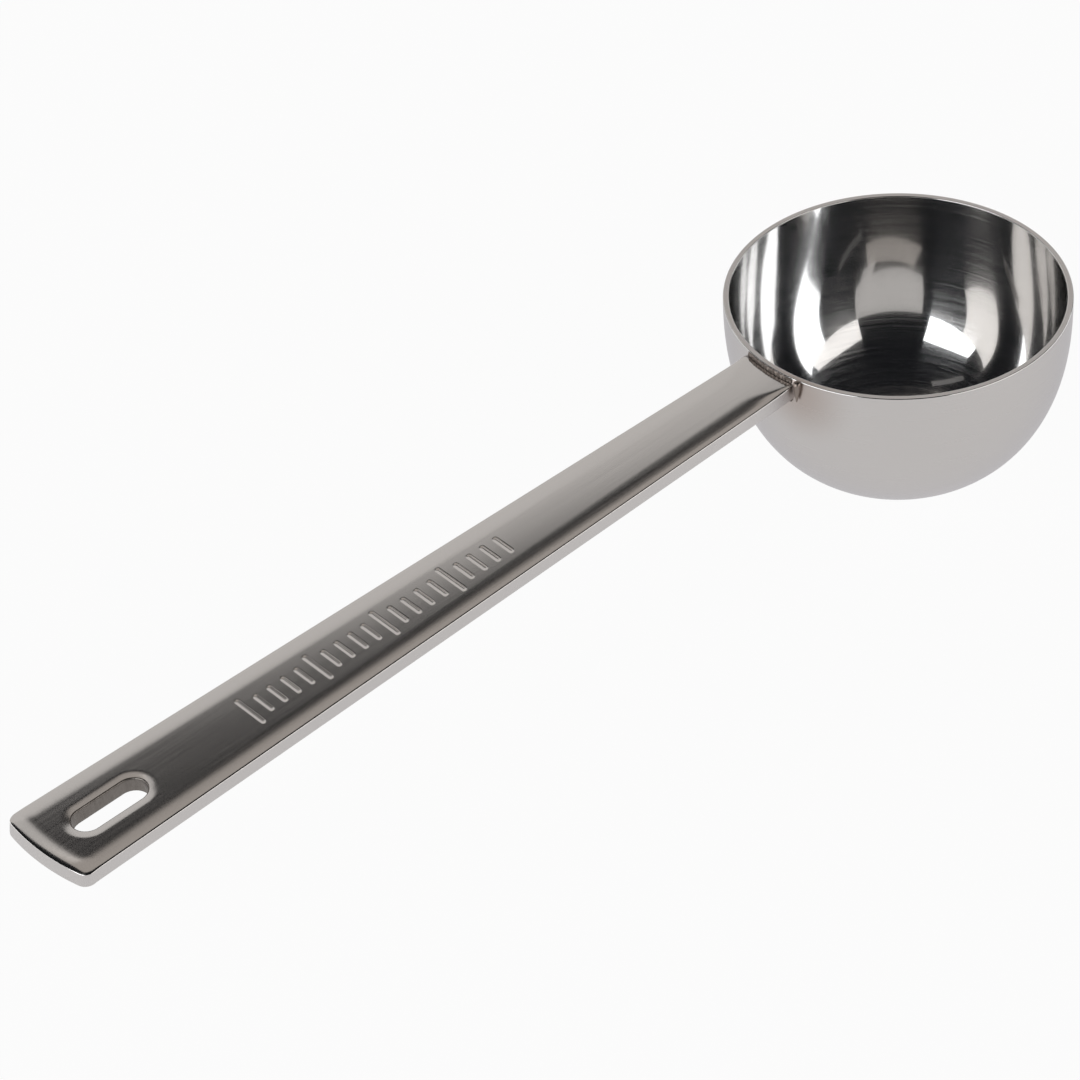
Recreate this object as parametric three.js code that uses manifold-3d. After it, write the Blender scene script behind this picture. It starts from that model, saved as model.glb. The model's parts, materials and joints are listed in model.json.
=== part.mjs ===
// Stainless steel coffee scoop: a deep drawn bowl with a stamped bar handle butt welded to it
// just below the rim. Millimetres, +Z up. The scoop lies as it does on a table, on the bottom
// of its bowl and the tip of its handle, and the handle points along -X.
import * as THREE from 'three';
import { mergeVertices } from 'three/addons/utils/BufferGeometryUtils.js';
import Module from 'manifold-3d';

const wasm = await Module();
wasm.setup();

// Bowl
const BOWL_RADIUS = 23.1; // outside, at the rim
const BOWL_DEPTH = 27.0; // outside, from the rim to the bottom
const BOWL_FULLNESS = 2.45; // superellipse exponent of the profile, 2 would be an ellipse
const BOWL_WALL = 0.8;

// Handle
const HANDLE_REACH = 144.1; // from the bowl's axis to the tip
const HANDLE_WIDTH_AT_BOWL = 8.8;
const HANDLE_WIDTH_AT_END = 15.6;
const HANDLE_EDGE = 2.1; // height of the flat side faces
const HANDLE_CROWN = 0.2; // rise of the top between its edges
const HANDLE_DIP = 5.9; // degrees below the plane of the rim
const HANDLE_DROP = 1.1; // from the rim down to the handle's top edges at the bowl
const END_BULGE = 0.9; // how far the middle of the end stands out past its corners
const END_CORNER = 0.8; // radius of the end's two corners

// Hanging slot, with a shallow dish pressed round it
const SLOT_LENGTH = 11.1;
const SLOT_WIDTH = 4.15;
const SLOT_INSET = 5.4; // from the handle's tip to the slot
const DISH_WIDTH = 1.15;
const DISH_DEPTH = 0.2;

// Weld between the handle and the bowl
const WELD_GAP = 0.3; // clearance between the weld metal and what it joins
const SEAM_WIDTH = 0.6;
const SEAM_RISE = 0.25; // how far the seam stands above the handle's top edges
const BEAD_RADIUS = 1.0; // of the drop at each corner of the handle
const BEAD_TAIL = 1.9; // how far a drop runs down the side of the handle

// How finely round shapes are divided
const BOWL_SIDES = 80;
const PROFILE_STEPS = 15;
const CROWN_STEPS = 12;
const ARC_STEPS = 10;
const BEAD_SIDES = 20;

const handleDip = THREE.MathUtils.degToRad(HANDLE_DIP);
const cutMargin = BOWL_WALL + HANDLE_EDGE; // cutting bodies reach this far past what they cut
const seamOuterRadius = BOWL_RADIUS + WELD_GAP + SEAM_WIDTH;
const handleRootRadius = seamOuterRadius + WELD_GAP;

// Keeps only positions, joins shared corners and drops triangles that have closed up.
function plainGeometry(source) {
  const bare = source.clone();
  bare.deleteAttribute('normal');
  bare.deleteAttribute('uv');
  const merged = mergeVertices(bare);
  const corners = merged.index.array;
  const kept = [];
  for (let i = 0; i < corners.length; i += 3) {
    const [a, b, c] = corners.slice(i, i + 3);
    if (a !== b && b !== c && c !== a) {
      kept.push(a, b, c);
    }
  }
  merged.setIndex(kept);
  return merged;
}

function solidFrom(geometry) {
  const plain = plainGeometry(geometry);
  const mesh = new wasm.Mesh({
    numProp: 3,
    vertProperties: new Float32Array(plain.attributes.position.array),
    triVerts: new Uint32Array(plain.index.array),
  });
  return new wasm.Manifold(mesh);
}

function geometryFrom(solid) {
  const mesh = solid.getMesh();
  const geometry = new THREE.BufferGeometry();
  geometry.setAttribute('position', new THREE.BufferAttribute(mesh.vertProperties, 3));
  geometry.setIndex(new THREE.BufferAttribute(mesh.triVerts, 1));
  geometry.computeVertexNormals();
  return geometry;
}

function namedMesh(name, geometry, colour, roughness) {
  const material = new THREE.MeshStandardMaterial({ color: colour, roughness, metalness: 1 });
  const mesh = new THREE.Mesh(geometry, material);
  mesh.name = name;
  return mesh;
}

// Bowl: a superellipse drawn cup of even wall, open at a flat rim. Each profile point is
// (radius, height), with the rim at height 0.
function bowlProfile(inset) {
  const points = [];
  for (let i = 0; i <= PROFILE_STEPS; i += 1) {
    const angle = (Math.PI / 2) * (1 - i / PROFILE_STEPS);
    const across = i === 0 ? 0 : Math.cos(angle) ** (2 / BOWL_FULLNESS);
    const down = Math.sin(angle) ** (2 / BOWL_FULLNESS);
    const normal = new THREE.Vector2(
      across ** (BOWL_FULLNESS - 1) / BOWL_RADIUS,
      -(down ** (BOWL_FULLNESS - 1)) / BOWL_DEPTH,
    ).normalize();
    const point = new THREE.Vector2(BOWL_RADIUS * across, -BOWL_DEPTH * down);
    points.push(point.addScaledVector(normal, -inset));
  }
  return points;
}

function makeBowl() {
  const outside = bowlProfile(0);
  const inside = bowlProfile(BOWL_WALL).reverse();
  const lathe = new THREE.LatheGeometry([...outside, ...inside], BOWL_SIDES);
  lathe.rotateX(Math.PI / 2);
  const geometry = plainGeometry(lathe);
  geometry.computeVertexNormals();
  return namedMesh('bowl', geometry, 0xbab6b3, 0.25);
}

// The handle and the weld share one frame: its origin is on the bowl's axis, the handle runs
// along -X, and its two top edges lie at height 0.
function halfWidthAt(distance) {
  const share = (distance - BOWL_RADIUS) / (HANDLE_REACH - BOWL_RADIUS);
  const width = THREE.MathUtils.lerp(HANDLE_WIDTH_AT_BOWL, HANDLE_WIDTH_AT_END, share);
  return width / 2;
}

// An upright cylinder round the bowl's axis, turned into the handle's frame.
function bowlCylinder(radius) {
  const height = 2 * (BOWL_DEPTH + cutMargin);
  const cylinder = new THREE.CylinderGeometry(radius, radius, height, BOWL_SIDES);
  cylinder.rotateX(Math.PI / 2);
  cylinder.rotateY(handleDip);
  return solidFrom(cylinder);
}

// One cross section of the crowned bar, a little wider than the handle.
function crownedSection(distance) {
  const overWide = 1 + cutMargin / HANDLE_WIDTH_AT_BOWL;
  const half = halfWidthAt(distance);
  const ring = [];
  for (let i = 0; i <= CROWN_STEPS; i += 1) {
    const across = overWide * (1 - (2 * i) / CROWN_STEPS);
    const height = HANDLE_CROWN * (1 - Math.abs(across) ** 3);
    ring.push(new THREE.Vector3(-distance, across * half, height));
  }
  ring.push(new THREE.Vector3(-distance, -overWide * half, -HANDLE_EDGE));
  ring.push(new THREE.Vector3(-distance, overWide * half, -HANDLE_EDGE));
  return ring;
}

// A closed body between two convex rings with the same number of points.
function loft(first, last) {
  const count = first.length;
  const positions = [...first, ...last].flatMap((point) => point.toArray());
  const index = [];
  for (let i = 0; i < count; i += 1) {
    const next = (i + 1) % count;
    index.push(i, i + count, next);
    index.push(next, i + count, next + count);
  }
  for (let i = 1; i < count - 1; i += 1) {
    index.push(0, i, i + 1);
    index.push(count, count + i + 1, count + i);
  }
  const geometry = new THREE.BufferGeometry();
  geometry.setAttribute('position', new THREE.Float32BufferAttribute(positions, 3));
  geometry.setIndex(index);
  return geometry;
}

// The handle seen from above: straight tapering sides, round corners and a slightly bowed end.
function handleOutline() {
  const root = BOWL_RADIUS - BOWL_WALL;
  const cornerAt = HANDLE_REACH - END_BULGE;
  const tipHalf = halfWidthAt(cornerAt);
  const beforeCorner = cornerAt - END_CORNER;
  const beforeHalf = halfWidthAt(beforeCorner);
  const bowRadius = (tipHalf ** 2 + END_BULGE ** 2) / (2 * END_BULGE);
  const bowCentre = -HANDLE_REACH + bowRadius;
  const bowHalf = tipHalf - END_CORNER;
  const bowAngle = Math.asin(bowHalf / bowRadius);
  const bowStart = bowCentre - bowRadius * Math.cos(bowAngle);
  const shape = new THREE.Shape();
  shape.moveTo(-root, halfWidthAt(root));
  shape.lineTo(-beforeCorner, beforeHalf);
  shape.quadraticCurveTo(-cornerAt, tipHalf, bowStart, bowHalf);
  shape.absarc(bowCentre, 0, bowRadius, Math.PI - bowAngle, Math.PI + bowAngle, false);
  shape.quadraticCurveTo(-cornerAt, -tipHalf, -beforeCorner, -beforeHalf);
  shape.lineTo(-root, -halfWidthAt(root));
  shape.closePath();
  return shape;
}

function slotOutline() {
  const radius = SLOT_WIDTH / 2;
  const tipCentre = -(HANDLE_REACH - SLOT_INSET - radius);
  const bowlCentre = -(HANDLE_REACH - SLOT_INSET - SLOT_LENGTH + radius);
  const shape = new THREE.Shape();
  shape.absarc(tipCentre, 0, radius, Math.PI / 2, 1.5 * Math.PI, false);
  shape.absarc(bowlCentre, 0, radius, -Math.PI / 2, Math.PI / 2, false);
  shape.closePath();
  return shape;
}

// A plan outline extruded upright through the whole thickness of the handle.
function uprightCut(shape) {
  const depth = HANDLE_EDGE + HANDLE_CROWN + 2 * cutMargin;
  const prism = new THREE.ExtrudeGeometry(shape, {
    depth,
    bevelEnabled: false,
    curveSegments: ARC_STEPS,
  });
  prism.translate(0, 0, -HANDLE_EDGE - cutMargin);
  return solidFrom(prism);
}

// The dish widens from the slot's outline to its full width at the handle's top.
function dishCut() {
  const flare = new THREE.ExtrudeGeometry(slotOutline(), {
    depth: cutMargin,
    bevelThickness: DISH_DEPTH,
    bevelSize: DISH_WIDTH,
    bevelSegments: 1,
    curveSegments: ARC_STEPS,
  });
  flare.translate(0, 0, HANDLE_CROWN);
  return solidFrom(flare);
}

function makeHandle() {
  const root = BOWL_RADIUS - BOWL_WALL - cutMargin;
  const bar = solidFrom(loft(crownedSection(root), crownedSection(HANDLE_REACH + cutMargin)));
  const trimmed = bar.intersect(uprightCut(handleOutline())).subtract(bowlCylinder(handleRootRadius));
  const slotted = trimmed.subtract(uprightCut(slotOutline())).subtract(dishCut());
  return namedMesh('handle', geometryFrom(slotted), 0xb4b0ac, 0.3);
}

// Weld seam: the band of weld metal between the handle's end and the bowl's wall.
function makeSeam() {
  const half = halfWidthAt(BOWL_RADIUS);
  const height = HANDLE_EDGE + SEAM_RISE;
  const length = BOWL_RADIUS + cutMargin;
  const band = new THREE.BoxGeometry(length, 2 * half, height);
  band.translate(-length / 2, 0, SEAM_RISE - height / 2);
  const outer = solidFrom(band).intersect(bowlCylinder(seamOuterRadius));
  const seam = outer.subtract(bowlCylinder(BOWL_RADIUS + WELD_GAP));
  return namedMesh('weld_seam', geometryFrom(seam), 0x7a6f66, 0.45);
}

// Weld beads: at each corner of the handle a drop of weld metal that ran down into the corner
// between the handle's side and the bowl. side is 1 on the left of the handle and -1 on the right.
function makeBead(name, side) {
  const profile = [new THREE.Vector2(0, -BEAD_TAIL)];
  for (let i = 0; i <= ARC_STEPS; i += 1) {
    const angle = (Math.PI / 2) * (i / ARC_STEPS);
    profile.push(new THREE.Vector2(BEAD_RADIUS * Math.cos(angle), BEAD_RADIUS * Math.sin(angle)));
  }
  const drop = new THREE.LatheGeometry(profile, BEAD_SIDES);
  drop.rotateX(Math.PI / 2);
  const keepOutHalf = halfWidthAt(handleRootRadius + BEAD_RADIUS) + WELD_GAP;
  const reach = Math.sqrt((BOWL_RADIUS + WELD_GAP) ** 2 - keepOutHalf ** 2);
  drop.translate(-reach, side * keepOutHalf, 0);
  const keepOutHeight = cutMargin + HANDLE_EDGE;
  const keepOut = new THREE.BoxGeometry(2 * handleRootRadius, 2 * keepOutHalf, keepOutHeight);
  keepOut.translate(-handleRootRadius, 0, SEAM_RISE + WELD_GAP - keepOutHeight / 2);
  const bead = solidFrom(drop).subtract(bowlCylinder(BOWL_RADIUS + WELD_GAP)).subtract(solidFrom(keepOut));
  return namedMesh(name, geometryFrom(bead), 0x6f645c, 0.4);
}

const handleFrame = new THREE.Group();
handleFrame.rotation.y = -handleDip;
handleFrame.position.z = BOWL_RADIUS * Math.tan(handleDip) - HANDLE_DROP;
handleFrame.add(makeHandle());
handleFrame.add(makeSeam());
handleFrame.add(makeBead('weld_bead_left', 1));
handleFrame.add(makeBead('weld_bead_right', -1));

// At rest the tip's lower edge and the bottom of the bowl touch the table together: the scoop
// turns by the steepest line that runs from the tip down to the bowl's profile.
function restTilt() {
  const tip = new THREE.Vector3(-HANDLE_REACH, 0, -HANDLE_EDGE);
  handleFrame.updateMatrix();
  tip.applyMatrix4(handleFrame.matrix);
  const slopes = bowlProfile(0).map((point) => Math.atan2(tip.z - point.y, -point.x - tip.x));
  return Math.max(...slopes);
}

const scoop = new THREE.Group();
scoop.add(makeBowl());
scoop.add(handleFrame);
scoop.rotation.y = -restTilt();

// The origin is on the table, under the middle of the scoop.
const extent = new THREE.Box3().setFromObject(scoop, true);
const middle = extent.getCenter(new THREE.Vector3());
scoop.position.set(-middle.x, -middle.y, -extent.min.z);

const coffeeScoop = new THREE.Group();
coffeeScoop.add(scoop);

export default coffeeScoop;
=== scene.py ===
import json
import math

import bmesh
import bpy
from mathutils import Matrix, Quaternion, Vector, noise


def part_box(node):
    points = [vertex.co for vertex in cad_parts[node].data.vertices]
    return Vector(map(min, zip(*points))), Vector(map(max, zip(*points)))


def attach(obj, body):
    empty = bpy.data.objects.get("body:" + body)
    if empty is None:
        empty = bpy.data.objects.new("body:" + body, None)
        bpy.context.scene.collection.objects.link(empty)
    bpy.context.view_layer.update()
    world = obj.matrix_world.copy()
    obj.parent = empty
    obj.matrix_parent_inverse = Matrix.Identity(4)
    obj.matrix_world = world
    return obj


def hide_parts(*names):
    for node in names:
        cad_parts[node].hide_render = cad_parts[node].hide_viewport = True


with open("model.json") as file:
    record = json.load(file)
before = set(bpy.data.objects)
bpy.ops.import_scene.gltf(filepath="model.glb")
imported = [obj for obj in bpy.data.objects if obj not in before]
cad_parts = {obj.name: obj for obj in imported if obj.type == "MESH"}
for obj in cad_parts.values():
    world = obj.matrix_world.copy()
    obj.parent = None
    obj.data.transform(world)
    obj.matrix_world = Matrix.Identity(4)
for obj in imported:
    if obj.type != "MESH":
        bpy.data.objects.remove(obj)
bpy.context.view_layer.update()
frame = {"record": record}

scene = bpy.context.scene

# Bowl. A deep cup drawn from one disc of stainless sheet, so its wall is even from the rim to the bottom.
# The rim is ground flat, the outside is satin, and the inside is buffed to a mirror while it turns.
bowl_depth = 0.0270
bowl_fullness = 2.45
bowl_wall = 0.0008
bowl_sides = 240
bowl_rows = 150
buffing_wave = 0.000012
buffing_wave_size = 0.006
buffing_seed = 4
ground_edge = 0.00012
ground_edge_steps = 4
rim_corner = math.radians(60)
mounts = {mount["name"]: mount for mount in frame["record"]["mounts"]}
bowl_low, bowl_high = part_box("bowl")
bowl_radius = (bowl_high.y - bowl_low.y) / 2
rim_up = Vector(mounts["rim"]["axis"])
rim_across = Vector((rim_up.z, 0, -rim_up.x))
rim_centre = Vector(mounts["rim"]["pos_m"]) - rim_across * (bowl_radius - bowl_wall / 2)


def upright_frame(origin, forward, up):
    """A matrix that takes lengths along forward, across and up to the row frame."""
    turned = Matrix((forward, up.cross(forward), up)).transposed()
    return Matrix.Translation(origin) @ turned.to_4x4()


def add_node(tree, kind, feeds=None, **settings):
    """A node with its settings made and its sockets fed, from values or from other sockets."""
    node = tree.nodes.new(kind)
    for setting, value in settings.items():
        setattr(node, setting, value)
    for socket, value in (feeds or {}).items():
        if isinstance(value, bpy.types.NodeSocket):
            tree.links.new(value, node.inputs[socket])
        else:
            node.inputs[socket].default_value = value
    return node


def calc(tree, operation, *values):
    """The result of one Math node."""
    return add_node(tree, "ShaderNodeMath", dict(enumerate(values)), operation=operation).outputs[0]


def ramp(tree, value, begin, full, low, high, shape="LINEAR"):
    """What goes from low, where the value is at begin, to high, where it is full."""
    feeds = {0: value, 1: begin, 2: full, 3: low, 4: high}
    return add_node(tree, "ShaderNodeMapRange", feeds, interpolation_type=shape).outputs[0]


def blend(tree, amount, first, second):
    """The mix of two colours."""
    feeds = {0: amount, 6: first, 7: second}
    return add_node(tree, "ShaderNodeMix", feeds, data_type="RGBA").outputs[2]


def node_tree_with(name, lengths, counts):
    """An empty Geometry Nodes tree with these named inputs, and its input sockets."""
    tree = bpy.data.node_groups.new(name, "GeometryNodeTree")
    tree.interface.new_socket("Geometry", in_out="OUTPUT", socket_type="NodeSocketGeometry")
    for label in lengths:
        tree.interface.new_socket(label, in_out="INPUT", socket_type="NodeSocketFloat")
    for label in counts:
        tree.interface.new_socket(label, in_out="INPUT", socket_type="NodeSocketInt")
    return tree, tree.nodes.new("NodeGroupInput").outputs


def grown_mesh(name, tree, values):
    """The plain mesh that a node tree makes when its named inputs take these values."""
    maker = bpy.data.objects.new(name, bpy.data.meshes.new(name + "_start"))
    scene.collection.objects.link(maker)
    modifier = maker.modifiers.new(name, "NODES")
    modifier.node_group = tree
    for item in tree.interface.items_tree:
        if item.in_out == "INPUT":
            modifier[item.identifier] = values[item.name]
    mesh = bpy.data.meshes.new_from_object(maker.evaluated_get(bpy.context.evaluated_depsgraph_get()))
    mesh.name = name
    bpy.data.objects.remove(maker)
    return mesh


def steel(name, colour):
    """A bare metal, its node tree and its shader, for a section to add its own finish to."""
    material = bpy.data.materials.new(name)
    material.use_nodes = True
    shader = material.node_tree.nodes["Principled BSDF"]
    shader.inputs["Metallic"].default_value = 1
    shader.inputs["Base Color"].default_value = colour
    return material, material.node_tree, shader


def place_in(tree, frame_matrix, stretch):
    """Object coordinates in a piece's own frame, stretched along its axes."""
    coordinates = add_node(tree, "ShaderNodeTexCoord").outputs["Object"]
    turned = {0: coordinates, "Location": frame_matrix.translation, "Rotation": frame_matrix.to_euler()}
    own = add_node(tree, "ShaderNodeMapping", turned, vector_type="TEXTURE").outputs[0]
    return add_node(tree, "ShaderNodeMapping", {0: own, "Scale": stretch}).outputs[0]


def ring_place(tree, around, along):
    """A place that changes slowly round the bowl and fast along its profile, as polishing rings do."""
    slow = place_in(tree, bowl_frame, [around] * 3)
    forward, sideways, _ = add_node(tree, "ShaderNodeSeparateXYZ", {0: slow}).outputs
    polish = add_node(tree, "ShaderNodeUVMap", uv_map="polish").outputs[0]
    _, row, _ = add_node(tree, "ShaderNodeSeparateXYZ", {0: polish}).outputs
    feeds = {0: forward, 1: sideways, 2: calc(tree, "MULTIPLY", row, along)}
    return add_node(tree, "ShaderNodeCombineXYZ", feeds).outputs[0]


def polish_lines(tree, shader, place, share, roughness_range):
    """Fine polishing lines, which vary the roughness, and their pattern.

    share is where in the pattern a line begins and where it is full.
    """
    lines = add_node(tree, "ShaderNodeTexNoise", {"Vector": place, "Scale": 1, "Detail": 5}).outputs["Fac"]
    tree.links.new(ramp(tree, lines, *share, *roughness_range), shader.inputs["Roughness"])
    return lines


def raise_lines(tree, shader, lines, height):
    """Raises a pattern a little above the surface."""
    bump = add_node(tree, "ShaderNodeBump", {"Strength": 1, "Distance": height, "Height": lines})
    tree.links.new(bump.outputs[0], shader.inputs["Normal"])


bowl_frame = upright_frame(rim_centre, rim_across, rim_up)
satin_colour = (0.62, 0.595, 0.583, 1)
heat_colour = (0.48, 0.42, 0.39, 1)
heat_spot = Vector((-bowl_radius, -0.0055, -0.002))
heat_reach = 0.009
satin_glance = (0.85, 0.85, 0.88, 1)
satin_roughness_range = (0.27, 0.33)
satin_around = 60
satin_along = 900
even_lines = (0.3, 0.7)
satin, satin_tree, satin_shader = steel("bowl_satin_outside", satin_colour)
satin_shader.inputs["Specular Tint"].default_value = satin_glance
satin_rings = ring_place(satin_tree, satin_around, satin_along)
polish_lines(satin_tree, satin_shader, satin_rings, even_lines, satin_roughness_range)
from_heat = {0: place_in(satin_tree, bowl_frame, (1, 1, 1)), 1: heat_spot}
heat_gap = add_node(satin_tree, "ShaderNodeVectorMath", from_heat, operation="DISTANCE").outputs["Value"]
heat = ramp(satin_tree, heat_gap, 0, heat_reach, 1, 0, "SMOOTHSTEP")
tinted = blend(satin_tree, heat, satin_colour, heat_colour)
satin_tree.links.new(tinted, satin_shader.inputs["Base Color"])

mirror_colour = (0.8, 0.795, 0.79, 1)
mirror_roughness_range = (0.025, 0.22)
mirror_around = 40
mirror_along = 7500
sparse_lines = (0.47, 0.64)
smeared = 0.9
quarter_turn = 0.25
mirror, mirror_tree, mirror_shader = steel("bowl_mirror_inside", mirror_colour)
mirror_rings = ring_place(mirror_tree, mirror_around, mirror_along)
polish_lines(mirror_tree, mirror_shader, mirror_rings, sparse_lines, mirror_roughness_range)
mirror_shader.inputs["Anisotropic"].default_value = smeared
mirror_shader.inputs["Anisotropic Rotation"].default_value = quarter_turn
ring_way = add_node(mirror_tree, "ShaderNodeTangent", direction_type="UV_MAP", uv_map="polish").outputs[0]
mirror_tree.links.new(ring_way, mirror_shader.inputs["Tangent"])

ground_colour = (0.66, 0.65, 0.64, 1)
ground_roughness = 0.1
ground, _, ground_shader = steel("bowl_ground_edge", ground_colour)
ground_shader.inputs["Roughness"].default_value = ground_roughness

bowl_tree, bowl_input = node_tree_with(
    "drawn_bowl",
    ("Radius", "Depth", "Fullness", "Wall", "Wave height", "Wave size"),
    ("Sides", "Rows", "Seed"),
)
# The bowl starts as a flat grid, once round by its width. Its lower half becomes the outside, from the
# bottom up to the rim, and its upper half the inside, from the rim down.
columns = calc(bowl_tree, "ADD", bowl_input["Sides"], 1)
sheet = {"Size X": 1, "Size Y": 2, "Vertices X": columns, "Vertices Y": bowl_input["Rows"]}
grid, grid_uv = add_node(bowl_tree, "GeometryNodeMeshGrid", sheet).outputs
start = add_node(bowl_tree, "GeometryNodeInputPosition").outputs[0]
across, along, _ = add_node(bowl_tree, "ShaderNodeSeparateXYZ", {0: start}).outputs
turn = calc(bowl_tree, "MULTIPLY", across, math.tau)
inside = calc(bowl_tree, "GREATER_THAN", along, 0)
rim_row = calc(bowl_tree, "DIVIDE", 1, calc(bowl_tree, "SUBTRACT", bowl_input["Rows"], 1))
from_rim = calc(bowl_tree, "SUBTRACT", calc(bowl_tree, "ABSOLUTE", along), rim_row)
profile_share = calc(bowl_tree, "DIVIDE", from_rim, calc(bowl_tree, "SUBTRACT", 1, rim_row))
close_at_rim = 1.5
slant = calc(bowl_tree, "MULTIPLY", calc(bowl_tree, "POWER", profile_share, close_at_rim), math.pi / 2)
curve = calc(bowl_tree, "DIVIDE", 2, bowl_input["Fullness"])
out = calc(bowl_tree, "POWER", calc(bowl_tree, "COSINE", slant), curve)
down = calc(bowl_tree, "POWER", calc(bowl_tree, "SINE", slant), curve)
steepness = calc(bowl_tree, "SUBTRACT", bowl_input["Fullness"], 1)
lean_out = calc(bowl_tree, "DIVIDE", calc(bowl_tree, "POWER", out, steepness), bowl_input["Radius"])
lean_down = calc(bowl_tree, "DIVIDE", calc(bowl_tree, "POWER", down, steepness), bowl_input["Depth"])
lean_down_squared = calc(bowl_tree, "MULTIPLY", lean_down, lean_down)
lean = calc(bowl_tree, "SQRT", calc(bowl_tree, "MULTIPLY_ADD", lean_out, lean_out, lean_down_squared))
outer_radius = calc(bowl_tree, "MULTIPLY", bowl_input["Radius"], out)
outer_depth = calc(bowl_tree, "MULTIPLY", bowl_input["Depth"], down)
cosine = calc(bowl_tree, "COSINE", turn)
sine = calc(bowl_tree, "SINE", turn)


def round_point(tree, radius, height):
    """A point at this radius, in the direction of its own column."""
    flat = {0: calc(tree, "MULTIPLY", radius, cosine), 1: calc(tree, "MULTIPLY", radius, sine), 2: height}
    return add_node(tree, "ShaderNodeCombineXYZ", flat).outputs[0]


wave_place = round_point(bowl_tree, outer_radius, outer_depth)
wave_scale = calc(bowl_tree, "DIVIDE", 1, bowl_input["Wave size"])
wave_feeds = {"Vector": wave_place, "W": bowl_input["Seed"], "Scale": wave_scale, "Detail": 1}
wave = add_node(bowl_tree, "ShaderNodeTexNoise", wave_feeds, noise_dimensions="4D").outputs["Fac"]
noise_middle = 0.5
wave_swing = calc(bowl_tree, "SUBTRACT", wave, noise_middle)
wave_height = calc(bowl_tree, "MULTIPLY", wave_swing, bowl_input["Wave height"])
wave_from_rim = 4
below_rim = calc(bowl_tree, "MINIMUM", calc(bowl_tree, "MULTIPLY", down, wave_from_rim), 1)
wall = calc(bowl_tree, "MULTIPLY_ADD", wave_height, below_rim, bowl_input["Wall"])
inset = calc(bowl_tree, "DIVIDE", calc(bowl_tree, "MULTIPLY", wall, inside), lean)
radius = calc(bowl_tree, "SUBTRACT", outer_radius, calc(bowl_tree, "MULTIPLY", inset, lean_out))
height = calc(bowl_tree, "SUBTRACT", calc(bowl_tree, "MULTIPLY", inset, lean_down), outer_depth)
profile_feeds = {0: grid, "Name": "profile", "Value": along}
marked = add_node(bowl_tree, "GeometryNodeStoreNamedAttribute", profile_feeds)
polish_feeds = {0: marked.outputs[0], "Name": "polish", "Value": grid_uv}
laid_out = add_node(
    bowl_tree, "GeometryNodeStoreNamedAttribute", polish_feeds, data_type="FLOAT2", domain="CORNER"
)
shaped = {0: laid_out.outputs[0], "Position": round_point(bowl_tree, radius, height)}
shell = add_node(bowl_tree, "GeometryNodeSetPosition", shaped).outputs[0]
same_point = 0.000001
closed = add_node(bowl_tree, "GeometryNodeMergeByDistance", {0: shell, "Distance": same_point}).outputs[0]
smooth_shell = add_node(bowl_tree, "GeometryNodeSetShadeSmooth", {0: closed}).outputs[0]
real_shell = add_node(bowl_tree, "GeometryNodeRealizeInstances", {0: smooth_shell}).outputs[0]
satin_all = add_node(bowl_tree, "GeometryNodeSetMaterial", {0: real_shell, "Material": satin}).outputs[0]
profile = add_node(bowl_tree, "GeometryNodeInputNamedAttribute", {"Name": "profile"}).outputs[0]
just_past_rim = 0.0001
past_rim = calc(bowl_tree, "GREATER_THAN", profile, just_past_rim)
buffed = {0: satin_all, "Selection": past_rim, "Material": mirror}
finished_shell = add_node(bowl_tree, "GeometryNodeSetMaterial", buffed).outputs[0]
add_node(bowl_tree, "NodeGroupOutput", {0: finished_shell})

bowl_sizes = {
    "Radius": bowl_radius,
    "Depth": bowl_depth,
    "Fullness": bowl_fullness,
    "Wall": bowl_wall,
    "Wave height": buffing_wave,
    "Wave size": buffing_wave_size,
    "Sides": bowl_sides,
    "Rows": bowl_rows,
    "Seed": buffing_seed,
}
bowl_mesh = grown_mesh("bowl_shell", bowl_tree, bowl_sizes)
bowl_mesh.transform(bowl_frame)
bowl_mesh.materials.append(ground)


def add_piece(name, mesh, slot, *nodes):
    """A finished piece that rides on the scoop and stands for these nodes."""
    piece = bpy.data.objects.new(name, mesh)
    scene.collection.objects.link(piece)
    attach(piece, "root")
    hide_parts(*nodes)
    return piece


bowl = add_piece("bowl_shell", bowl_mesh, "bowl_steel", "bowl")
rim_bevel = bowl.modifiers.new("ground_edge", "BEVEL")
rim_bevel.limit_method = "ANGLE"
rim_bevel.angle_limit = rim_corner
rim_bevel.width = ground_edge
rim_bevel.segments = ground_edge_steps
rim_bevel.material = len(bowl_mesh.materials) - 1
rim_bevel.harden_normals = True

# Handle. A long flat bar stamped from thick stainless sheet, which widens from the bowl to its bowed end.
# Its top is satin polished and rolls down a little to its edges, and its sides are ground. Its hanging
# slot is punched, with a dish pressed round it.
edge_height = 0.0021
crown_height = 0.0002
half_at_bowl = 0.0046
half_at_end = 0.0078
end_bow = 0.0009
end_corner = 0.0015
end_flare = 0.0003
end_skew = 0.034
edge_round = 0.0006
edge_flatness = 0.2
foot_round = 0.0002
roll_width = 0.003
roll_drop = 0.00016
end_roll_width = 0.003
end_roll_drop = 0.0002
roll_fades_over = 0.007
roll_left = 0.15
slot_inset = 0.0054
slot_length = 0.0111
slot_half = 0.002075
slot_round = 0.0002
dish_width = 0.0014
dish_depth = 0.00011
dish_curve = 1.5
mark_start = 0.0335
mark_end = 0.0775
mark_pitch = 0.0022
mark_half = 0.0016
long_mark_half = 0.0026
mark_every = 5
mark_stroke = 0.00045
mark_depth = 0.00006
mark_blur = 0.0002
mark_margin = 0.001
weld_sunk = 0.00025
underside = mounts["handle_underside"]
handle_up = -Vector(underside["axis"])
toward_bowl = Vector((handle_up.z, 0, -handle_up.x))
handle_tip = Vector(underside["pos_m"])
tip_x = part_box("handle")[0].x - (edge_height + crown_height) * handle_up.x
handle_tip += toward_bowl * (tip_x - handle_tip.x) / toward_bowl.x
handle_frame = upright_frame(handle_tip, toward_bowl, handle_up)
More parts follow.
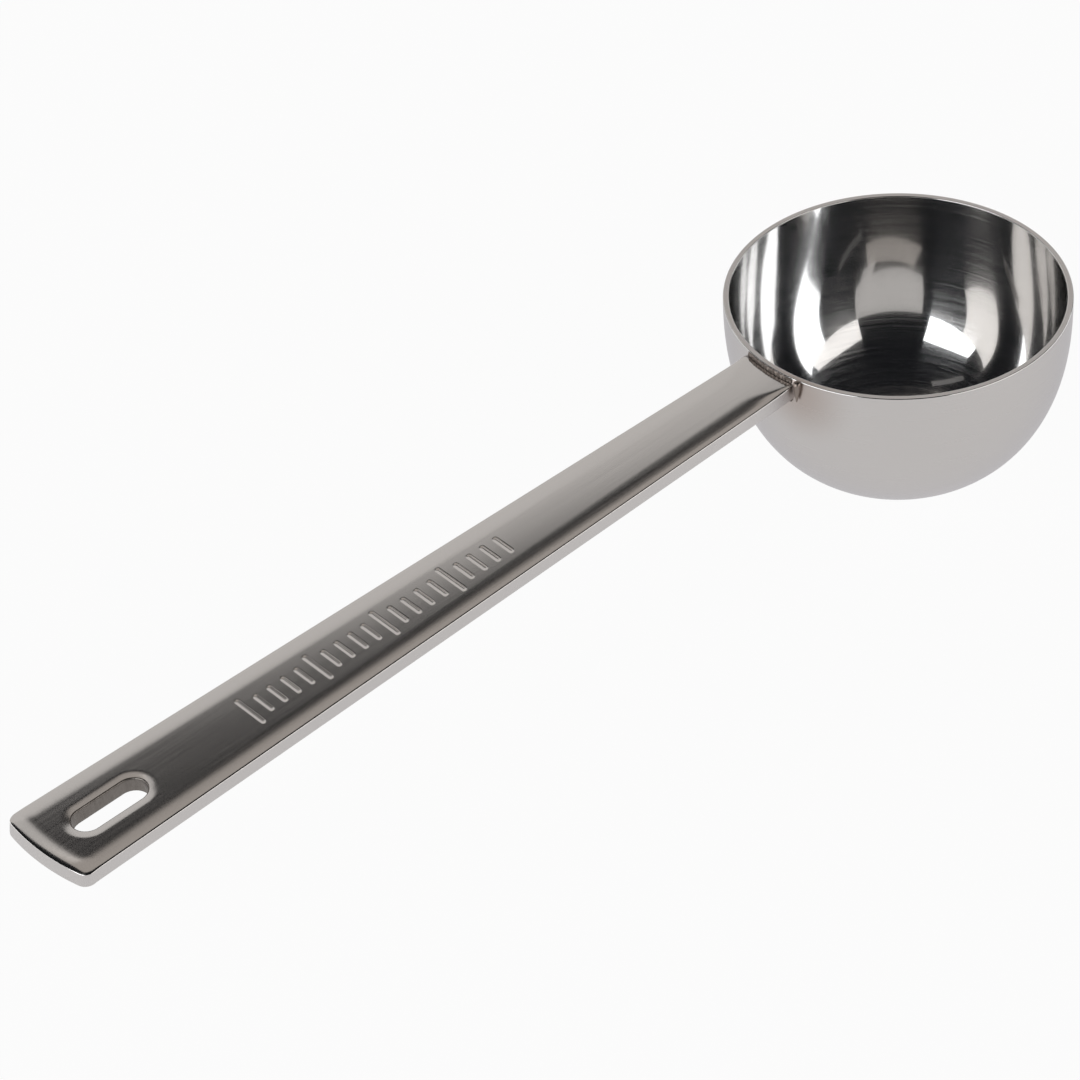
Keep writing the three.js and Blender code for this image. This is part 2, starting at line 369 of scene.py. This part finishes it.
rim_seen = handle_frame.inverted() @ rim_centre
axis_seen = handle_frame.inverted().to_3x3() @ rim_up
reach = rim_seen.x + axis_seen.x * (edge_height - rim_seen.z) / axis_seen.z
root = reach - (bowl_radius - weld_sunk) / axis_seen.z


def half_width(along):
    """Half the handle's width at this distance from its end."""
    return half_at_end + (half_at_bowl - half_at_end) * along / (reach - bowl_radius)


def root_at(across):
    """Where the handle ends against the round wall of the bowl."""
    return reach - math.sqrt((bowl_radius - weld_sunk) ** 2 - across**2) / axis_seen.z


def end_line(across):
    """Where the bowed end lies at this place across the handle. It was cropped a little askew."""
    return end_bow * (across / half_at_end) ** 2 - end_skew * across


def slot_distance(along, across):
    """How far a point of the top lies from the hanging slot's edge."""
    straight = slot_length / 2 - slot_half
    past = max(abs(along - slot_inset - slot_length / 2) - straight, 0)
    return math.hypot(past, across) - slot_half


def smooth_step(value):
    """An even ramp from 0 to 1."""
    value = min(max(value, 0), 1)
    return value * value * (3 - 2 * value)


def mark_press(along, across):
    """How deep the row of plain stamped strokes is pressed in at this point."""
    number = round((along - mark_start) / mark_pitch)
    if number < 0 or mark_start + number * mark_pitch > mark_end:
        return 0
    half = mark_half if number % mark_every else long_mark_half
    past = max(abs(across) - half, 0)
    gap = math.hypot(along - mark_start - number * mark_pitch, past) - mark_stroke / 2
    return mark_depth * smooth_step(0.5 - gap / mark_blur)


def top_height(along, across):
    """The height of the handle's top over its flat underside."""
    to_side = half_width(along) - abs(across)
    to_end = along - end_line(across)
    share = min(abs(across) / half_width(along), 1)
    width = roll_width * (roll_left + (1 - roll_left) * smooth_step((root - along) / roll_fades_over))
    crown = crown_height - (crown_height - roll_drop) * share**2
    crown -= roll_drop * max(0, 1 - to_side / width) ** 2
    crown -= end_roll_drop * max(0, 1 - to_end / end_roll_width) ** 2
    dish = dish_depth * max(0, 1 - slot_distance(along, across) / dish_width) ** dish_curve
    return edge_height + crown - dish - mark_press(along, across)


def spaced(start, stop, step):
    """Even places from start up to, but without, stop."""
    count = max(1, round((stop - start) / step))
    return [start + (stop - start) * index / count for index in range(count)]


columns_across = 80
ring_count = 44
round_steps = 5
coarse_step = 0.0006
fine_step = 0.00014
behind_slot = 0.0055
join = slot_inset + slot_length + behind_slot
rows = spaced(join, mark_start - mark_margin, coarse_step)
rows += spaced(mark_start - mark_margin, mark_end + mark_margin, fine_step)
rows += spaced(mark_end + mark_margin, root, coarse_step) + [root]
handle_points = []
handle_faces = []


def add_point(along, across, height):
    """A new vertex of the handle, by its number."""
    handle_points.append((along, across, height))
    return len(handle_points) - 1


def shaft_place(row, column):
    """Where a row and a column of the shaft's top cross."""
    share = 2 * column / columns_across - 1
    across = share * (half_width(row) - edge_round)
    bend = smooth_step((row - mark_end) / (root - mark_end))
    return row + bend * (root_at(across) - root), across


def corner_arc(side):
    """The outline's corner on this side of the end, set in by the edge's rounding."""
    steps = 8
    centre_y = half_width(end_corner) - end_corner
    slope = math.atan(2 * end_bow * centre_y / half_at_end**2 - side * end_skew)
    last = math.pi - slope
    centre_x = end_line(side * (centre_y + end_corner * math.sin(last))) - end_corner * math.cos(last)
    radius = end_corner - edge_round
    arc = []
    for step in range(steps + 1):
        turn = math.pi / 2 + (last - math.pi / 2) * step / steps
        arc.append((centre_x + radius * math.cos(turn), side * (centre_y + radius * math.sin(turn))))
    return arc


def end_outline():
    """The outline round the handle's end, from +Y to -Y, set in by the edge's rounding."""
    left = corner_arc(1)
    right = corner_arc(-1)
    bow_steps = 40
    bow = []
    for step in range(1, bow_steps):
        across = left[-1][1] + (right[-1][1] - left[-1][1]) * step / bow_steps
        bow.append((end_line(across) + edge_round, across))
    return left + bow + right[::-1]


def end_rings():
    """Matching points on the hanging slot's edge and on the outline round it."""
    low = slot_inset + slot_half
    high = slot_inset + slot_length - slot_half
    radius = slot_half + slot_round
    side_steps = 36
    inner = []
    outer = []
    for column in range(columns_across + 1):
        turn = math.pi * (column / columns_across - 0.5)
        inner.append((high + radius * math.cos(turn), radius * math.sin(turn)))
        outer.append(shaft_place(join, column))
    outline = end_outline()
    for step in range(1, side_steps):
        share = step / side_steps
        along = join + (outline[0][0] - join) * share
        inner.append((high + (low - high) * share, radius))
        outer.append((along, half_width(along) - edge_round))
    for step, place in enumerate(outline):
        turn = math.pi * (0.5 + step / (len(outline) - 1))
        inner.append((low + radius * math.cos(turn), radius * math.sin(turn)))
        outer.append(place)
    for step in range(1, side_steps):
        share = 1 - step / side_steps
        along = join + (outline[-1][0] - join) * share
        inner.append((high + (low - high) * share, -radius))
        outer.append((along, edge_round - half_width(along)))
    return inner, outer


def add_strip(first, second, closed):
    """Quads between two rows of vertices that run side by side."""
    last = len(first) if closed else len(first) - 1
    for index in range(last):
        after = (index + 1) % len(first)
        handle_faces.append((first[index], second[index], second[after], first[after]))


shaft = []
for row in rows:
    places = [shaft_place(row, column) for column in range(columns_across + 1)]
    shaft.append([add_point(along, across, top_height(along, across)) for along, across in places])
for first, second in zip(shaft, shaft[1:]):
    add_strip(first, second, False)

slot_ring, outline_ring = end_rings()
even_share = 0.45
rings = []
for ring in range(ring_count + 1):
    share = ring / ring_count
    share = even_share * share + (1 - even_share) * smooth_step(share)
    line = []
    for (slot_x, slot_y), (edge_x, edge_y) in zip(slot_ring, outline_ring):
        along = slot_x + (edge_x - slot_x) * share
        across = slot_y + (edge_y - slot_y) * share
        line.append(add_point(along, across, top_height(along, across)))
    rings.append(line)
rings[-1][: columns_across + 1] = shaft[0]
for first, second in zip(rings, rings[1:]):
    add_strip(first, second, True)

end_side = rings[-1][columns_across + 1 :]
outline = [row[0] for row in shaft] + shaft[-1][1:] + [row[-1] for row in reversed(shaft[:-1])] + end_side


def outward(loop):
    """The level direction that points out of a counter-clockwise loop at each of its vertices."""
    ways = []
    for index in range(len(loop)):
        here = Vector(handle_points[loop[index]][:2])
        before = here - Vector(handle_points[loop[index - 1]][:2])
        after = Vector(handle_points[loop[(index + 1) % len(loop)]][:2]) - here
        along, across = (before.normalized() + after.normalized()).normalized()
        ways.append((across, -along))
    return ways


def wall_steps(top, lean, rounding, flatness, flare):
    """How far out and how high a wall's points lie, from the top's rounded edge down to its rounded foot.

    lean is the slope of the top where the rounding begins.
    """
    hold = 0.0001
    lower_hold = 0.0003
    corner = [math.pi / 2 * step / round_steps for step in range(1, round_steps + 1)]
    foot = rounding + flare
    fall = rounding * flatness
    steps = []
    for turn in corner:
        out = rounding * math.sin(turn)
        steps.append((out, top - lean * out - fall * (1 - math.cos(turn))))
    steps += [(rounding, steps[-1][1] - hold), (foot, foot_round + hold)]
    for turn in [0] + corner:
        steps.append((foot - foot_round * (1 - math.cos(turn)), foot_round * (1 - math.sin(turn))))
    return steps + [(foot - foot_round - lower_hold, 0)]


def add_wall(loop, sign, rounding, flatness, flare):
    """Drops a wall from a loop of the top's vertices. sign is -1 for a hole's wall.

    rounding is the width of the edge's rounding and flatness its height to its width. flare is how
    much further out the wall's foot stands at the handle's end.
    """
    columns = []
    just_past = 0.0001
    for number, way in zip(loop, outward(loop)):
        along, across, top = handle_points[number]
        way_x = sign * way[0]
        way_y = sign * way[1]
        lean = (top - top_height(along + way_x * just_past, across + way_y * just_past)) / just_past
        column = [number]
        for out, height in wall_steps(top, lean, rounding, flatness, flare * max(0, -way_x)):
            column.append(add_point(along + way_x * out, across + way_y * out, height))
        columns.append(column)
    levels = list(zip(*columns))
    for upper, lower in zip(levels, levels[1:]):
        if sign < 0:
            add_strip(lower, upper, True)
        else:
            add_strip(upper, lower, True)


first_side = len(handle_faces) + round_steps * len(outline)
add_wall(outline, 1, edge_round, edge_flatness, end_flare)
first_punched = len(handle_faces)
add_wall(rings[0], -1, slot_round, 1, 0)

handle_mesh = bpy.data.meshes.new("handle_bar")
handle_mesh.from_pydata(handle_points, [], handle_faces)
for polygon in handle_mesh.polygons[first_side:first_punched]:
    polygon.material_index = 1
for polygon in handle_mesh.polygons[first_punched:]:
    polygon.material_index = 2
shaper = bmesh.new()
shaper.from_mesh(handle_mesh)
loose = [vertex for vertex in shaper.verts if not vertex.link_faces]
bmesh.ops.delete(shaper, geom=loose, context="VERTS")
open_edges = [edge for edge in shaper.edges if edge.is_boundary]
bmesh.ops.triangle_fill(shaper, edges=open_edges, use_beauty=True)
bmesh.ops.recalc_face_normals(shaper, faces=shaper.faces)
for face in shaper.faces:
    face.smooth = True
shaper.to_mesh(handle_mesh)
shaper.free()
handle_mesh.transform(handle_frame)

handle_colour = (0.69, 0.67, 0.655, 1)
handle_roughness_range = (0.12, 0.145)
brushed_along = (80, 5000, 5000)
brushed, brushed_tree, brushed_shader = steel("handle_satin", handle_colour)
brushed_place = place_in(brushed_tree, handle_frame, brushed_along)
polish_lines(brushed_tree, brushed_shader, brushed_place, even_lines, handle_roughness_range)
handle_mesh.materials.append(brushed)

side_colour = (0.62, 0.595, 0.585, 1)
side_roughness_range = (0.27, 0.33)
side_grain = (900, 900, 900)
ground_side, side_tree, side_shader = steel("handle_ground_side", side_colour)
side_place = place_in(side_tree, handle_frame, side_grain)
polish_lines(side_tree, side_shader, side_place, even_lines, side_roughness_range)
handle_mesh.materials.append(ground_side)

punched_colour = (0.21, 0.19, 0.175, 1)
punched_roughness_range = (0.25, 0.5)
punched_grain = (2500, 2500, 700)
punched_line_height = 0.00005
punched, punched_tree, punched_shader = steel("slot_punched_wall", punched_colour)
punched_place = place_in(punched_tree, handle_frame, punched_grain)
punched_lines = polish_lines(
    punched_tree, punched_shader, punched_place, even_lines, punched_roughness_range
)
raise_lines(punched_tree, punched_shader, punched_lines, punched_line_height)
handle_mesh.materials.append(punched)
add_piece("handle_bar", handle_mesh, "handle_steel", "handle")

# Weld seam. A thin flat bead of stainless filler, laid along the joint of handle and bowl above and
# below the handle. It is left as welded: rippled, lumpy and tinted brown by the heat.
seam_thick = 0.00016
seam_tall = 2.6
seam_offset = 0.00006
seam_drop = 0.00046
seam_under_drop = 0.0029
seam_near_end = 0.0043
seam_far_end = 0.0039
seam_ripple = 0.0005
seam_ripple_height = 0.00003
seam_lump = 0.0005
seam_lump_height = 0.00012
seam_sides = 20
seam_steps = 200
seam_seed = 7
seam_lengths = ("Path radius", "Half angle", "Thickness", "Tall", "Ripple pitch", "Ripple height")
seam_lengths += ("Lump size", "Lump height", "Drop")
seam_tree, seam_input = node_tree_with("weld_seam", seam_lengths, ("Steps", "Sides", "Seed"))
weld_dark = (0.14, 0.118, 0.104, 1)
weld_bright = (0.25, 0.213, 0.19, 1)
weld_roughness_range = (0.6, 0.35)
weld_grain = (2500, 2500, 2500)
weld_grain_share = (0.35, 0.65)
weld_grain_height = 0.00002
weld_mottle_share = (0.4, 0.65)
weld_metal, weld_tree, weld_shader = steel("weld_metal", weld_bright)
weld_place = place_in(weld_tree, bowl_frame, weld_grain)
weld_lines = polish_lines(weld_tree, weld_shader, weld_place, weld_grain_share, weld_roughness_range)
raise_lines(weld_tree, weld_shader, weld_lines, weld_grain_height)
mottle = ramp(weld_tree, weld_lines, *weld_mottle_share, 0, 1)
weld_tree.links.new(blend(weld_tree, mottle, weld_dark, weld_bright), weld_shader.inputs["Base Color"])
sweep = calc(seam_tree, "MULTIPLY", seam_input["Half angle"], 2)
begin = calc(seam_tree, "SUBTRACT", math.pi, seam_input["Half angle"])
path_feeds = {"Resolution": seam_input["Steps"], "Radius": seam_input["Path radius"]}
path_feeds.update({"Start Angle": begin, "Sweep Angle": sweep})
path = add_node(seam_tree, "GeometryNodeCurveArc", path_feeds).outputs[0]
ring_feeds = {"Resolution": seam_input["Sides"], "Radius": seam_input["Thickness"]}
ring = add_node(seam_tree, "GeometryNodeCurvePrimitiveCircle", ring_feeds).outputs[0]
tube_feeds = {"Curve": path, "Profile Curve": ring, "Fill Caps": True}
tube = add_node(seam_tree, "GeometryNodeCurveToMesh", tube_feeds).outputs[0]
tall_scale = add_node(seam_tree, "ShaderNodeCombineXYZ", {0: 1, 1: 1, 2: seam_input["Tall"]}).outputs[0]
band = add_node(seam_tree, "GeometryNodeTransform", {0: tube, "Scale": tall_scale}).outputs[0]
spot = add_node(seam_tree, "GeometryNodeInputPosition").outputs[0]
spot_x, spot_y, _ = add_node(seam_tree, "ShaderNodeSeparateXYZ", {0: spot}).outputs
walk = calc(seam_tree, "DIVIDE", calc(seam_tree, "MULTIPLY", spot_y, math.tau), seam_input["Ripple pitch"])
ripple = calc(seam_tree, "MULTIPLY", calc(seam_tree, "SINE", walk), seam_input["Ripple height"])
lump_scale = calc(seam_tree, "DIVIDE", 1, seam_input["Lump size"])
lump_feeds = {"Vector": spot, "W": seam_input["Seed"], "Scale": lump_scale, "Detail": 2}
lump = add_node(seam_tree, "ShaderNodeTexNoise", lump_feeds, noise_dimensions="4D").outputs["Fac"]
lump_swing = calc(seam_tree, "SUBTRACT", lump, noise_middle)
lump_height = calc(seam_tree, "MULTIPLY", lump_swing, seam_input["Lump height"])
swell = calc(seam_tree, "ADD", ripple, lump_height)
normal = add_node(seam_tree, "GeometryNodeInputNormal").outputs[0]
swelling = {0: normal, "Scale": swell}
offset = add_node(seam_tree, "ShaderNodeVectorMath", swelling, operation="SCALE").outputs[0]
bead = add_node(seam_tree, "GeometryNodeSetPosition", {0: band, "Offset": offset}).outputs[0]
fall = calc(seam_tree, "MULTIPLY", seam_input["Drop"], -1)
lower = add_node(seam_tree, "ShaderNodeCombineXYZ", {2: fall}).outputs[0]
pair = add_node(seam_tree, "GeometryNodeMeshLine", {"Count": 2, "Offset": lower}).outputs[0]
beads = add_node(seam_tree, "GeometryNodeInstanceOnPoints", {"Points": pair, "Instance": bead}).outputs[0]
real_seam = add_node(seam_tree, "GeometryNodeRealizeInstances", {0: beads}).outputs[0]
smooth_seam = add_node(seam_tree, "GeometryNodeSetShadeSmooth", {0: real_seam}).outputs[0]
tinted_seam = {0: smooth_seam, "Material": weld_metal}
finished_seam = add_node(seam_tree, "GeometryNodeSetMaterial", tinted_seam).outputs[0]
add_node(seam_tree, "NodeGroupOutput", {0: finished_seam})
seam_path = bowl_radius + seam_offset
seam_sizes = {
    "Path radius": seam_path,
    "Half angle": (seam_near_end + seam_far_end) / 2 / seam_path,
    "Thickness": seam_thick,
    "Tall": seam_tall,
    "Ripple pitch": seam_ripple,
    "Ripple height": seam_ripple_height,
    "Lump size": seam_lump,
    "Lump height": seam_lump_height,
    "Drop": seam_under_drop,
    "Steps": seam_steps,
    "Sides": seam_sides,
    "Seed": seam_seed,
}
seam_mesh = grown_mesh("weld_seam_beads", seam_tree, seam_sizes)
seam_turn = (seam_near_end - seam_far_end) / 2 / seam_path
seam_mesh.transform(Matrix.Translation((0, 0, -seam_drop)) @ Matrix.Rotation(seam_turn, 4, "Z"))
seam_mesh.transform(bowl_frame)
add_piece("weld_seam_beads", seam_mesh, "weld_metal", "weld_seam")

# Weld beads. A drop of filler at each corner of the handle, where the torch began and ended.
# Each has a bright round head and a tail that ran down the corner between the handle's side and the bowl.
bead_stand_off = 0.0006
bead_foot = -0.0022
bead_tail_half = 0.0002
bead_tail_out = 0.0007
bead_tail_bluntness = 6
bead_rings = 32
bead_sides = 28
bead_lump = 0.0008
bead_lump_height = 0.00008
right_head = 0.00054
right_top = 0.00125
right_out = 0.0008
left_head = 0.00028
left_top = -0.0006
left_out = 0.0002
bead_colour = (0.27, 0.225, 0.2, 1)
bead_roughness_range = (0.28, 0.45)
bead_metal, bead_tree, bead_shader = steel("weld_bead_metal", bead_colour)
bead_place = place_in(bead_tree, bowl_frame, weld_grain)
polish_lines(bead_tree, bead_shader, bead_place, even_lines, bead_roughness_range)


def bead_radius(head, depth, length):
    """A drop's radius this far below the top of its head."""
    if depth < head:
        return math.sqrt(head**2 - (head - depth) ** 2)
    tail = (depth - head) / (length - head)
    taper = head + (bead_tail_half - head) * smooth_step(tail)
    return taper * math.sqrt(max(0, 1 - tail**bead_tail_bluntness))


def bead_mesh(name, side, head, top, out):
    """One drop in the corner on this side of the handle, from the top of its head down."""
    length = top - bead_foot
    points = []
    faces = []

    def spine(share):
        """The middle of the drop at this share of its length."""
        level = top - share * length
        across = side * (half_at_bowl + out + (bead_tail_out - out) * share)
        wall = root_at(across) + level * axis_seen.x / axis_seen.z
        return Vector((wall - bead_stand_off, across, edge_height + level))

    for ring in range(1, bead_rings):
        share = ring / bead_rings
        for step in range(bead_sides):
            turn = math.tau * step / bead_sides
            way = Vector((math.cos(turn), math.sin(turn), 0))
            place = spine(share) + way * bead_radius(head, share * length, length)
            points.append(place + way * noise.noise(place / bead_lump) * bead_lump_height)
    for ring in range(bead_rings - 2):
        for step in range(bead_sides):
            after = (step + 1) % bead_sides
            first = ring * bead_sides
            second = first + bead_sides
            faces.append((first + step, second + step, second + after, first + after))
    points.append(spine(0))
    points.append(spine(1))
    last = (bead_rings - 2) * bead_sides
    for step in range(bead_sides):
        after = (step + 1) % bead_sides
        faces.append((len(points) - 2, step, after))
        faces.append((len(points) - 1, last + after, last + step))
    mesh = bpy.data.meshes.new(name)
    mesh.from_pydata(points, [], faces)
    mesh.polygons.foreach_set("use_smooth", [True] * len(faces))
    mesh.materials.append(bead_metal)
    mesh.transform(handle_frame)
    return mesh


left_drop = bead_mesh("weld_drop_left", 1, left_head, left_top, left_out)
add_piece("weld_drop_left", left_drop, "weld_metal", "weld_bead_left")
right_drop = bead_mesh("weld_drop_right", -1, right_head, right_top, right_out)
add_piece("weld_drop_right", right_drop, "weld_metal", "weld_bead_right")

# Camera. A long lens a short way off, which looks along the handle from its end and from above.
# It is rolled a little to one side.
camera_azimuth = math.radians(-41.673)
camera_elevation = math.radians(35.02)
camera_roll = math.radians(2.133)
camera_distance = 0.8979
camera_aim = Vector((-0.00157, 0.00076, 0.01334))
camera_lens = 233.33
away = Vector((math.sin(camera_azimuth), -math.cos(camera_azimuth), 0))
camera_back = away * math.cos(camera_elevation) + Vector((0, 0, math.sin(camera_elevation)))
camera = bpy.data.objects.new("camera", bpy.data.cameras.new("camera"))
camera.data.lens = camera_lens
camera.location = camera_aim + camera_back * camera_distance
camera.rotation_mode = "QUATERNION"
camera.rotation_quaternion = (-camera_back).to_track_quat("-Z", "Y") @ Quaternion((0, 0, 1), camera_roll)
scene.collection.objects.link(camera)
scene.camera = camera

# Table. A wide white board that the scoop lies on, matt enough to show a soft shadow under it.
# It is white to the eye and in the metal, and plain diffuse to the lamps.
table_half = 4
table_colour = (0.8, 0.8, 0.8, 1)
table_white_to_eye = 0.95
table_white_in_metal = 0.7
pure_white = (1, 1, 1, 1)
table_mesh = bpy.data.meshes.new("table")
corners = [(-table_half, -table_half, 0), (table_half, -table_half, 0)]
corners += [(table_half, table_half, 0), (-table_half, table_half, 0)]
table_mesh.from_pydata(corners, [], [(0, 1, 2, 3)])
table = bpy.data.objects.new("table", table_mesh)
scene.collection.objects.link(table)
board = bpy.data.materials.new("white_board")
board.use_nodes = True
board_tree = board.node_tree
board_tree.nodes.remove(board_tree.nodes["Principled BSDF"])
path_kind = add_node(board_tree, "ShaderNodeLightPath").outputs
mirrored = calc(board_tree, "MAXIMUM", path_kind["Is Glossy Ray"], path_kind["Is Transmission Ray"])
to_eye = calc(board_tree, "MULTIPLY", path_kind["Is Camera Ray"], table_white_to_eye)
amount = calc(board_tree, "MULTIPLY_ADD", mirrored, table_white_in_metal, to_eye)
matt = add_node(board_tree, "ShaderNodeBsdfDiffuse", {"Color": table_colour}).outputs[0]
white = add_node(board_tree, "ShaderNodeEmission", {"Color": pure_white, "Strength": 1}).outputs[0]
mixed = add_node(board_tree, "ShaderNodeMixShader", {0: amount, 1: matt, 2: white}).outputs[0]
board_tree.links.new(mixed, board_tree.nodes["Material Output"].inputs["Surface"])
table_mesh.materials.append(board)

# Lamps. Soft boxes and low walls on both sides, a pale screen beyond the scoop, and a panel and a bar
# overhead, in a dark room. Places and facings are along the camera's right, along its line of sight on
# the table, and up.
sight = -away
right = sight.cross(Vector((0, 0, 1)))


def studio_vector(part):
    """A direction or place given along right, sight and up, in the row frame."""
    return right * part[0] + sight * part[1] + Vector((0, 0, part[2]))


def soft_box(name, place, facing, size, level, tint):
    """A flat lamp that looks as bright as this level in the metal."""
    lamp = bpy.data.lights.new(name, "AREA")
    lamp.shape = "RECTANGLE"
    lamp.size, lamp.size_y = size
    lamp.energy = level * math.pi * size[0] * size[1]
    lamp.color = tint
    box = bpy.data.objects.new(name, lamp)
    box.location = studio_vector(place)
    box.rotation_mode = "QUATERNION"
    box.rotation_quaternion = (-studio_vector(facing)).to_track_quat("Z", "Y")
    box.visible_camera = False
    scene.collection.objects.link(box)


amber = (1, 0.92, 0.85)
warm = (1, 0.97, 0.94)
neutral = (1, 1, 1)
cool = (0.97, 0.985, 1)
soft_box("screen_beyond", (-0.21, 0.60, 0.3475), (0, -1, 0), (1.25, 0.695), 0.64, warm)
soft_box("screen_corner", (-0.56, 0.60, 0.85), (0, -1, 0), (0.3, 0.33), 0.57, warm)
soft_box("panel_overhead", (-0.054, 0.318, 0.7825), (0.087, -0.492, -0.866), (0.635, 0.35), 0.42, amber)
soft_box("bar_overhead", (-0.52, -0.03, 0.83), (0, -0.05, -1), (0.45, 0.075), 0.17, warm)
soft_box("box_left", (-0.634, -0.51, 0.35), (0.583, 0.8125, 0), (0.72, 0.7), 2.8, cool)
soft_box("box_right_low", (0.659, -0.396, 0.16), (-0.874, 0.486, 0), (0.78, 0.32), 1.9, warm)
soft_box("box_right_high", (0.659, -0.396, 0.52), (-0.874, 0.486, 0), (0.78, 0.4), 1.25, warm)
soft_box("wall_left", (-0.752, 0.123, 0.14), (0.9945, -0.1045, 0), (0.71, 0.28), 1.6, neutral)
soft_box("wall_right", (0.809, 0.273, 0.18), (-0.956, -0.292, 0), (0.71, 0.36), 2.0, neutral)

room_dark = (0.01, 0.0105, 0.012, 1)
world = bpy.data.worlds.new("dark_studio")
world.use_nodes = True
world_tree = world.node_tree
dark = world_tree.nodes["Background"]
dark.inputs["Color"].default_value = room_dark
pale = add_node(world_tree, "ShaderNodeBackground", {"Color": pure_white, "Strength": 1})
seen = add_node(world_tree, "ShaderNodeLightPath").outputs["Is Camera Ray"]
backdrop = {0: seen, 1: dark.outputs[0], 2: pale.outputs[0]}
surround = add_node(world_tree, "ShaderNodeMixShader", backdrop).outputs[0]
world_tree.links.new(surround, world_tree.nodes["World Output"].inputs["Surface"])
scene.world = world
scene.view_settings.view_transform = "Standard"
